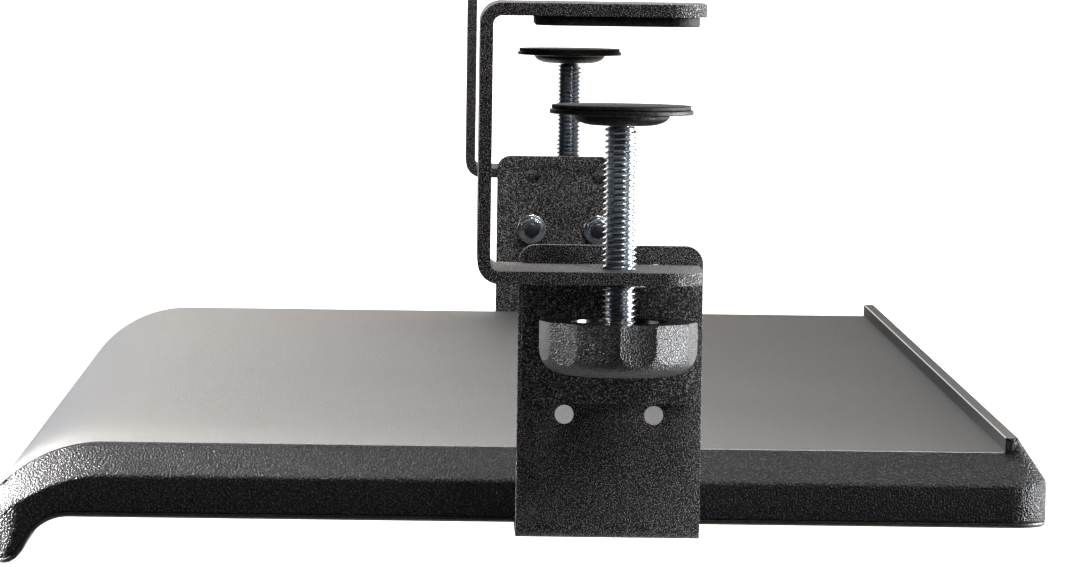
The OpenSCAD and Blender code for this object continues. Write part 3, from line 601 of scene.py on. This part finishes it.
def shellColumns(station):
    # inset and height of each column of the shell at a station, from the deck out, down and back in
    look = {"step": 0.38, "edgeRadius": 2.2, "edgeSteps": 5, "wall": 2.5, "deckDrop": 1.08,
            "lipDeckDrop": 1.1, "lip": 0.05, "roofInset": 9.5, "roofDrop": 3.7,
            "seamRise": 0.05, "sideWallDrop": 1.5, "backWallDrop": 1}
    x, y, outX, outY, facesBack, facesFront = station
    top = topHeight(y - outY * tray["bevelWidth"])
    behindLip = y > lipFoot
    rim = lipTop - look["lip"] if behindLip else top - look["step"]
    deck = lipTop - look["lipDeckDrop"] if y > lipFoot + 1 else top - look["deckDrop"]
    low = top - tray["bevelHeight"]
    seam = seamHeight(max(y, noseCentre[0]))
    slopeAngle = math.atan2(tray["bevelHeight"], tray["bevelWidth"])
    bevelStart = (tray["bevelWidth"] - 0.05, top - look["step"] - 0.12)
    # rounded lower edge of the bevel
    turn = math.pi / 2 - slopeAngle
    reach = look["edgeRadius"] * math.tan(turn / 2)
    centre = (look["edgeRadius"], low - reach)
    turns = [turn * k / look["edgeSteps"] for k in range(look["edgeSteps"], -1, -1)]
    edge = [(centre[0] - look["edgeRadius"] * math.cos(a),
             centre[1] + look["edgeRadius"] * math.sin(a)) for a in turns]
    roof = (look["roofInset"], top - look["roofDrop"])
    floor = seam + look["seamRise"]
    side = [(8.22, deck), (8.2, rim), (8.05, rim - 0.02), bevelStart, blend(bevelStart, edge[0], 0.4)]
    side += edge
    side += [(0, blend((0, edge[-1][1]), (0, seam), 0.5)[1]), (0, seam + 0.45), (0.12, seam + 0.14),
             (0.45, floor), (look["wall"], floor), (look["wall"], low - look["sideWallDrop"]), roof]
    if facesBack:
        slopeLow = lipTop - tray["backSlope"]
        backStart = (8.3, lipTop - 0.2)
        backEdge = [(inset * 0.8, z + slopeLow - low) for inset, z in edge]
        back = [(8.5, deck), (8.45, rim), (8.4, lipTop - 0.06), backStart, blend(backStart, backEdge[0], 0.4)]
        # below its bevel the back has the side's four columns down to the seam
        back += backEdge + side[11:15]
        back += [(look["wall"], floor), (look["wall"], low - look["backWallDrop"]), roof]
        return [blend(a, b, facesBack) for a, b in zip(side, back)]
    if facesFront:
        r = tray["noseRadius"]
        front = [wristPoint(141.1, 40.95), wristPoint(141.1, 41.62), wristPoint(141.6, 41.6),
                 wristPoint(143, 41.7), wristPoint(148, 41.9)]
        front += [nosePoint(a, r) for a in (154, 161, 169, 177, 185, 194, 204, 215, 226)]
        front += [nosePoint(232.4, r - 0.1), nosePoint(233.7, r - 2.4), nosePoint(185, r - 2.5),
                  wristPoint(146, 38.3)]
        columns = [blend(a, b, facesFront) for a, b in zip(side, front)]
        # the columns beside the panel and under the roof stay at a fixed depth below the surface
        drops = ((0, look["deckDrop"]), (1, look["step"]), (2, look["step"] + 0.02), (-1, look["roofDrop"]))
        for k, drop in drops:
            inset = columns[k][0]
            columns[k] = (inset, topHeight(y - outY * inset) - drop)
        return columns
    return side


def makeShell():
    beds = {"halfWidth": 16.5, "low": -106.6, "high": 152.6, "top": -130.45, "centre": 290.0,
            "slotHalf": 15.0, "slotTop": -132.95, "slotInset": 1.6, "slotBelow": 3}
    ribs = {"thickness": 1.6, "low": -140.3, "high": -124.4, "pitchX": 59.0, "acrossHigh": -125.4,
            "front": -106, "back": 157.2, "eachSide": 4,
            "firstY": -110.2, "pitchY": 52.0, "rows": 5, "reach": 316, "rowRise": 0.1, "bedRise": 0.05}
    rounding = {"width": 0.12, "segments": 1, "angle": 50, "smooth": 32}
    shell = shapedGrid("trayShell", ringRows(planStations(), shellColumns))
    print("shell outline:", len(shell.data.polygons), "faces")
    added = []
    half = ribs["thickness"] / 2
    for i in range(-ribs["eachSide"], ribs["eachSide"] + 1):
        x = i * ribs["pitchX"]
        added.append(addBox("rib", (x - half, ribs["front"], ribs["low"]),
                            (x + half, ribs["back"], ribs["acrossHigh"])))
    for i in range(ribs["rows"]):
        y = ribs["firstY"] + i * ribs["pitchY"]
        added.append(addBox("rib", (-ribs["reach"], y, ribs["low"] + ribs["rowRise"]),
                            (ribs["reach"], y + ribs["thickness"], ribs["high"])))
    for sign in sides.values():
        x = sign * beds["centre"]
        added.append(addBox("bed", (x - beds["halfWidth"], beds["low"], ribs["low"] + ribs["bedRise"]),
                            (x + beds["halfWidth"], beds["high"], beds["top"])))
    cutWith(shell, added, "UNION")
    slots = []
    for sign in sides.values():
        x = sign * beds["centre"]
        slots.append(addBox("slot", (x - beds["slotHalf"], beds["low"] + beds["slotInset"],
                                     ribs["low"] - beds["slotBelow"]),
                            (x + beds["slotHalf"], beds["high"] - beds["slotInset"], beds["slotTop"])))
    cutWith(shell, slots)
    roundEdges(shell, rounding["width"], rounding["segments"], rounding["angle"])
    smoothByAngle(shell, rounding["smooth"])
    finishPiece(shell, "shell", "tray", "shell_plastic", "tray_shell")


def coverColumns(station):
    # inset and height of each column of the cover, from its inner side out, round the edge and back in
    x, y, outX, outY, facesBack, facesFront = station
    gap = tray["coverGap"]
    place = max(y, noseCentre[0])
    seam, low = seamHeight(place) - gap, bellyHeight(place)
    side = [(9.0, seam), (3.2, seam), (0.5, seam), (0.2, seam - 0.1), (0.12, seam - 0.35),
            (0.18, (seam + low) / 2), (0.45, low + 0.45), (0.9, low + 0.12), (1.7, low), (9.4, low)]
    if facesFront:
        r = tray["noseRadius"]
        front = [nosePoint(264, r - 1.66), nosePoint(235.4, r - 1.66), nosePoint(235, r - 0.4),
                 nosePoint(235.6, r - 0.12), nosePoint(237, r - 0.03), nosePoint(241, r), nosePoint(246, r),
                 nosePoint(252, r), nosePoint(259, r), nosePoint(269, r)]
        columns = [blend(a, b, facesFront) for a, b in zip(side, front)]
        for k, height in ((0, seamHeight), (-1, bellyHeight)):
            inset = columns[k][0]
            columns[k] = (inset, height(y - outY * inset) - (gap if k == 0 else 0))
        return columns
    return side


def makeCover():
    slot = {"centre": 290.0, "halfWidth": 15.0, "low": -105.0, "high": 151.0, "below": 3, "above": 4}
    screws = {"x": (88.0, 236.0), "y": (-78.0, 130.0), "low": 3.35, "high": 1.35,
              "below": 0.3, "above": 1.8}
    smoothAngle = 32
    cover = shapedGrid("bottomCover", ringRows(planStations(), coverColumns))
    cutters = []
    for sign in sides.values():
        x = sign * slot["centre"]
        cutters.append(addBox("slot", (x - slot["halfWidth"], slot["low"], tray["bottom"] - slot["below"]),
                              (x + slot["halfWidth"], slot["high"], tray["bottom"] + slot["above"])))
        for screwX in screws["x"]:
            for y in screws["y"]:
                cutters.append(addCone("sink", (sign * screwX, y), screws["low"], screws["high"],
                                       tray["bottom"] - screws["below"], tray["bottom"] + screws["above"]))
    cutWith(cover, cutters)
    smoothByAngle(cover, smoothAngle)
    finishPiece(cover, "cover", "tray", "cover_plastic", "bottom_cover")


def panelSection(endAngle, sunk=0.0):
    # section of the top panel, from the lip's back edge forward over the surface, round the wrist and back
    look = {"fold": 0.5, "foldSteps": 4, "wristSteps": 22, "flatPlaces": (100, 0, -90)}
    lipBack = tray["back"] - tray["lipInset"] - tray["panelGap"]
    top, t, r = tray["surface"], tray["panelThickness"], tray["wristRadius"]
    fold, bends, steps = look["fold"], look["foldSteps"], look["wristSteps"]
    outer = [(lipBack, lipTop - sunk)]
    outer += arc((lipFoot + sunk + fold, lipTop - sunk - fold), fold, 90, 180, bends)
    outer += arc((lipFoot + sunk - fold, top - sunk + fold), fold, 0, -90, bends)
    outer += [(y, top - sunk) for y in look["flatPlaces"]]
    outer += arc(wristCentre, r - sunk, 90, endAngle, steps)
    inner = arc(wristCentre, r - t, endAngle, 90, steps)
    inner += [(y, top - t) for y in reversed(look["flatPlaces"])]
    inner += arc((lipFoot - fold, top + fold), fold + t, -90, 0, bends)
    inner += arc((lipFoot + fold + t, lipTop - fold - t), fold, 180, 90, bends)
    inner += [(lipBack, lipTop - t)]
    return outer + inner + [outer[0]]


def makePanel():
    panel = {"halfWidth": 316.5, "endAngle": 140.6, "corner": 8.0, "edge": 0.36, "edgeSteps": 4,
             "cornerStep": 9, "cornerShare": 0.9, "rim": 0.2, "rimSegments": 2, "rimAngle": 60,
             "smooth": 30, "foldDepth": 0.45}
    # parts of a face's normal that tell the rounded side edges and the lip's fold from the rest
    facing = {"outward": 0.15, "roundedLow": 0.2, "roundedHigh": 0.98, "foldedLow": 0.3, "foldedHigh": 0.95}
    half, corner, edge = panel["halfWidth"], panel["corner"], panel["edge"]
    places = []
    for step in range(panel["edgeSteps"] + 1):
        a = math.radians(90 / panel["edgeSteps"] * step)
        places.append((half - edge * (1 - math.cos(a)), edge * (1 - math.sin(a))))
    # 81 degrees is left out, as it would fall within the rounded edge
    cornerAngles = range(72, -1, -panel["cornerStep"])
    places += [(half - corner * (1 - math.sin(math.radians(a))), 0.0) for a in cornerAngles]
    places += [(-x, sunk) for x, sunk in reversed(places)]
    rows = []
    for x, sunk in places:
        into = max(0.0, abs(x) - (half - corner))
        short = corner - math.sqrt(max(0.0, corner ** 2 - into ** 2))
        endAngle = panel["endAngle"] - math.degrees(short / tray["wristRadius"]) * panel["cornerShare"]
        rows.append([(x, y, z) for y, z in panelSection(endAngle, sunk)])
    sheet = shapedGrid("topPanel", rows, closed=False)
    roundEdges(sheet, panel["rim"], panel["rimSegments"], panel["rimAngle"])
    smoothByAngle(sheet, panel["smooth"])
    finishPiece(sheet, "panel", "tray", "panel_plastic", "top_panel")
    # the lip's front fold gets a painted highlight, a lighter colour standing in for the light it catches,
    # and the rounded side edges are dark and glossy
    sheet.data.materials.append(finishes["paintedFoldHighlight"])
    sheet.data.materials.append(finishes["sideEdge"])
    foldLow = (lipTop - panel["foldDepth"]) * mm
    for face in sheet.data.polygons:
        outward = face.normal.z > facing["outward"] or face.normal.y < -facing["outward"]
        rounded = facing["roundedLow"] < abs(face.normal.x) < facing["roundedHigh"] and outward
        tilted = facing["foldedLow"] < face.normal.z < facing["foldedHigh"]
        # the faces of the lip's front fold take the painted highlight
        paintedHighlightFold = face.center.z > foldLow and tilted and face.normal.y < -facing["foldedLow"]
        if paintedHighlightFold:
            face.material_index = 1
        elif rounded:
            face.material_index = 2


makeShell()
makeCover()
makePanel()
print("tray made")


# clamps, brackets and fasteners

def copyToLeft(piece, name, mirrored=True):
    # the left side's own copy, mirrored or moved across, with its own mesh
    twin = piece.copy()
    twin.data = piece.data.copy()
    twin.name = name
    bpy.context.scene.collection.objects.link(twin)
    makeActive(twin)
    if mirrored:
        bpy.ops.transform.mirror(orient_type="GLOBAL", constraint_axis=(True, False, False),
                                 center_override=(0, 0, 0))
        applyPlace(twin)
        startEdit(twin)
        endEdit(twin)
    else:
        bpy.ops.transform.translate(value=(-2 * screwPlace[0] * mm, 0, 0))
        applyPlace(twin)
    return twin


screwPlace = (362.55, 36.0)
softened = {
    "clamp_bracket": {"name": "ClampBracket", "edge": 0.6, "segments": 3, "look": "powder",
                      "body": "clamps", "slot": "clamp_steel"},
    "l_bracket": {"name": "LBracket", "edge": 0.3, "segments": 3, "look": "powder",
                  "body": "clamps", "slot": "bracket_steel"},
    "jaw_pad": {"name": "JawPad", "edge": 0.5, "segments": 3, "look": "rubber",
                "body": "clamps", "slot": "pad_rubber"},
    "bracket_bolts": {"name": "BracketBolts", "edge": 0.3, "segments": 2, "look": "boltBlack",
                      "body": "clamps", "slot": "bolt_black"},
    "bracket_nuts": {"name": "BracketNuts", "edge": 0.25, "segments": 2, "look": "zinc",
                     "body": "clamps", "slot": "zinc_steel"},
    "foot_cup": {"name": "FootCup", "edge": 0.3, "segments": 3, "look": "footSteel",
                 "body": "foot", "slot": "foot_steel"},
    "foot_pad": {"name": "FootPad", "edge": 0.3, "segments": 2, "look": "rubber",
                 "body": "foot", "slot": "pad_rubber"},
    "rail_stops": {"name": "RailStops", "edge": 0.35, "segments": 2, "look": "rubber",
                   "body": "tray", "slot": "pad_rubber"},
}
keptNodes = {
    "inner_rail": "strip", "outer_rail": "strip", "inner_rail_screws": "zinc", "outer_rail_screws": "zinc",
    "ball_cage": "cage", "bearing_balls": "polished", "knob_insert": "brass", "ball_seat": "zinc",
}


def sideBody(body, side):
    return f"{side}_{body}" if body in ("foot", "screw", "lift") else body


def softenNodes():
    bevelAngle, smoothAngle = 35, 34
    for node, look in softened.items():
        for side in sides:
            piece = copyNode(side + look["name"], f"{side}_{node}")
            roundEdges(piece, look["edge"], look["segments"], bevelAngle)
            smoothByAngle(piece, smoothAngle)
            finishPiece(piece, look["look"], sideBody(look["body"], side), look["slot"], f"{side}_{node}")


def dressKeptNodes():
    dressed = {f"{side}_{node}": look for node, look in keptNodes.items() for side in sides}
    dressed["cover_screws"] = "boltBlack"
    for node, look in dressed.items():
        for slot in nodes[node].material_slots:
            slot.material = finishes[look]


def makeClampScrews():
    # right-hand thread drawn along its own helix, with a chamfered top, a journal and a riveted end
    thread = {"outer": 4.7625, "root": 3.85, "pitch": 1.5875, "low": -94.5, "top": -27.9, "steps": 48,
              "topRadius": 3.36, "chamfer": 1.75, "journal": 2.45, "rivet": 3.0, "rivetTop": -23.5}
    # share of the pitch and share of the depth: root, flank, crest, flank
    form = [(0.0, 0.0), (0.2, 0.0), (0.53, 0.92), (0.57, 1.0), (0.66, 1.0), (0.70, 0.92)]
    turns = int((thread["top"] - thread["low"]) / thread["pitch"]) + 3
    depth = thread["outer"] - thread["root"]
    rows = []
    for i in range(thread["steps"] + 1):
        a = 2 * math.pi * i / thread["steps"]
        row = [(0, 0, thread["low"])]
        for turn in range(-1, turns):
            for share, out in form:
                z = thread["low"] + (turn + share + i / thread["steps"]) * thread["pitch"]
                z = min(max(z, thread["low"]), thread["top"])
                r = min(thread["root"] + depth * out,
                        thread["topRadius"] + (thread["top"] - z) * thread["chamfer"],
                        thread["root"] + (z - thread["low"]) * thread["chamfer"])
                row.append((r * math.cos(a), r * math.sin(a), z))
        journal, rivet, rivetTop = (thread[key] for key in ("journal", "rivet", "rivetTop"))
        neck = [(journal, thread["top"]), (journal, rivetTop - 0.4), (rivet, rivetTop - 0.35),
                (rivet - 0.1, rivetTop - 0.2), (rivet - 0.6, rivetTop), (0, rivetTop)]
        row += [(r * math.cos(a), r * math.sin(a), z) for r, z in neck]
        rows.append([(x + screwPlace[0], y + screwPlace[1], z) for x, y, z in row])
    screw = shapedGrid("rightClampScrew", rows)
    smoothByAngle(screw, 24)
    twin = copyToLeft(screw, "leftClampScrew", mirrored=False)
    for side, piece in (("right", screw), ("left", twin)):
        finishPiece(piece, "zinc", sideBody("screw", side), "zinc_steel", f"{side}_clamp_screw")


def makeKnobs():
    knob = {"radius": 22.0, "low": -97.0, "high": -82.0, "lobes": 6, "phase": 43.5, "lobeHalf": 16.4,
            "hollow": 0.55, "facetBulge": 0.18, "facetSteps": 6, "turnedSteps": 96,
            "recess": 13.5, "bore": 7.55, "boreFloor": -93.55,
            "edge": 0.35, "edgeSegments": 3, "edgeAngle": 16, "smooth": 22,
            "glossDepth": 1.7, "glossReach": 20.5, "glossRecess": 14}
    facetSteps = knob["facetSteps"]
    outline = []
    for lobe in range(knob["lobes"]):
        middle = knob["phase"] + lobe * 360 / knob["lobes"]
        corners = [middle - knob["lobeHalf"], middle + knob["lobeHalf"],
                   middle + 360 / knob["lobes"] - knob["lobeHalf"]]
        for k, hollow in ((0, -knob["facetBulge"]), (1, knob["hollow"])):
            ends = [(knob["radius"] * math.cos(math.radians(a)), knob["radius"] * math.sin(math.radians(a)))
                    for a in corners[k:k + 2]]
            inward = math.radians((corners[k] + corners[k + 1]) / 2)
            for step in range(facetSteps):
                share = step / facetSteps
                sink = hollow * (1 - (2 * share - 1) ** 2)
                x, y = blend(ends[0], ends[1], share)
                outline.append((x - sink * math.cos(inward), y - sink * math.sin(inward)))
    x0, y0 = screwPlace
    prismRows = []
    for x, y in outline + outline[:1]:
        prismRows.append([(x0, y0, knob["low"] - 1), (x0 + x, y0 + y, knob["low"] - 1),
                          (x0 + x, y0 + y, knob["high"] + 1), (x0, y0, knob["high"] + 1)])
    piece = shapedGrid("rightKnob", prismRows)
    top = knob["high"]
    # the rounded underside and rim, as radius and height above the knob's low end
    turned = [(0, 0), (13.2, 0), (15.5, 0.25), (17.4, 0.75), (18.9, 1.45), (20.0, 2.25), (20.8, 3.2),
              (21.4, 4.4), (21.8, 5.8), (22.05, 7.4), (22.1, 10.0), (22.1, 14.45), (21.85, 14.85),
              (21.4, 15.0)]
    # the recess in the top with its raised ring, and the bore
    inside = [(14.0, top), (13.7, top - 0.1), (knob["recess"], top - 0.35), (13.4, top - 1.3),
              (13.1, top - 1.5), (10.5, top - 1.5), (10.2, top - 1.1), (9.95, top - 0.95),
              (9.6, top - 0.98), (9.35, top - 1.4),
              (9.2, top - 1.5), (knob["bore"] + 0.3, top - 1.5), (knob["bore"], top - 1.8),
              (knob["bore"], knob["boreFloor"]), (0, knob["boreFloor"])]
    profile = [(r, knob["low"] + up) for r, up in turned] + inside
    steps = knob["turnedSteps"]
    turnedRows = [[(x0 + r * math.cos(2 * math.pi * i / steps), y0 + r * math.sin(2 * math.pi * i / steps), z)
                   for r, z in profile] for i in range(steps + 1)]
    cutWith(piece, [shapedGrid("knobTurned", turnedRows)], "INTERSECT")
    roundEdges(piece, knob["edge"], knob["edgeSegments"], knob["edgeAngle"])
    smoothByAngle(piece, knob["smooth"])
    twin = copyToLeft(piece, "leftKnob")
    smoothByAngle(twin, knob["smooth"])
    for side, knobPiece in (("right", piece), ("left", twin)):
        finishPiece(knobPiece, "knob", sideBody("screw", side), "knob_plastic", f"{side}_knob")
        knobPiece.data.materials.append(finishes["gloss"])
        # the recess and the flat top within the rim are glossy
        for face in knobPiece.data.polygons:
            reach = math.hypot(abs(face.center.x) / mm - x0, face.center.y / mm - y0)
            nearTop = face.center.z / mm > top - knob["glossDepth"]
            flatTop = reach < knob["glossReach"] and face.normal.z > 0.3
            if nearTop and (flatTop or reach < knob["glossRecess"]):
                face.material_index = 1


softenNodes()
dressKeptNodes()
makeClampScrews()
makeKnobs()
print("clamps, screws and knobs made")
